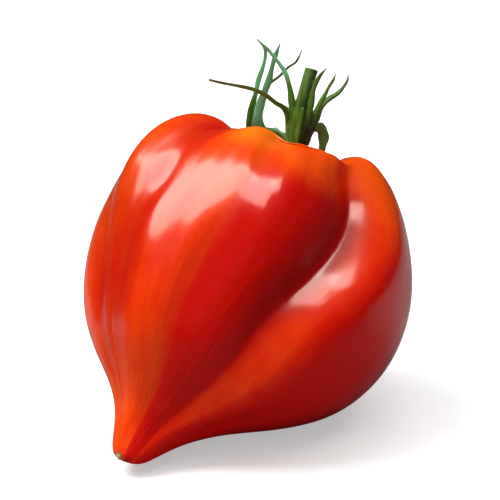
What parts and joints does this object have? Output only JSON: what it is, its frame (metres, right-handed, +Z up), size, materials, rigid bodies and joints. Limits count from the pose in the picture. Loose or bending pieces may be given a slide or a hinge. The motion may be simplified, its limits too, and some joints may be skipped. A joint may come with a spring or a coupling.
{
  "type": "tomato",
  "caption": "Large lobed ox-heart tomato lying on its belly, with a pinched tip, deep furrows, a green calyx of long curling sepals and a short cut stalk",
  "frame": {"origin": "on the resting plane, under the middle of the bounding box", "axes": "+Z up; the tip points to -Y and -X and lies low, the stalk points up and leans to +Y; +X is to the right seen from the tip's side"},
  "size_m": [0.0921, 0.0961, 0.1071],
  "materials": {
    "skin": "smooth waxy skin, glossy, orange-red with darker red in the furrows",
    "sepal_green": "soft matte green with fine hairs, browner at the tips",
    "stalk_green": "soft matte green, pale cut end"
  },
  "bodies": {
    "root": {"fruit": "skin", "calyx": "sepal_green", "stalk": "stalk_green"}
  },
  "joints": []
}
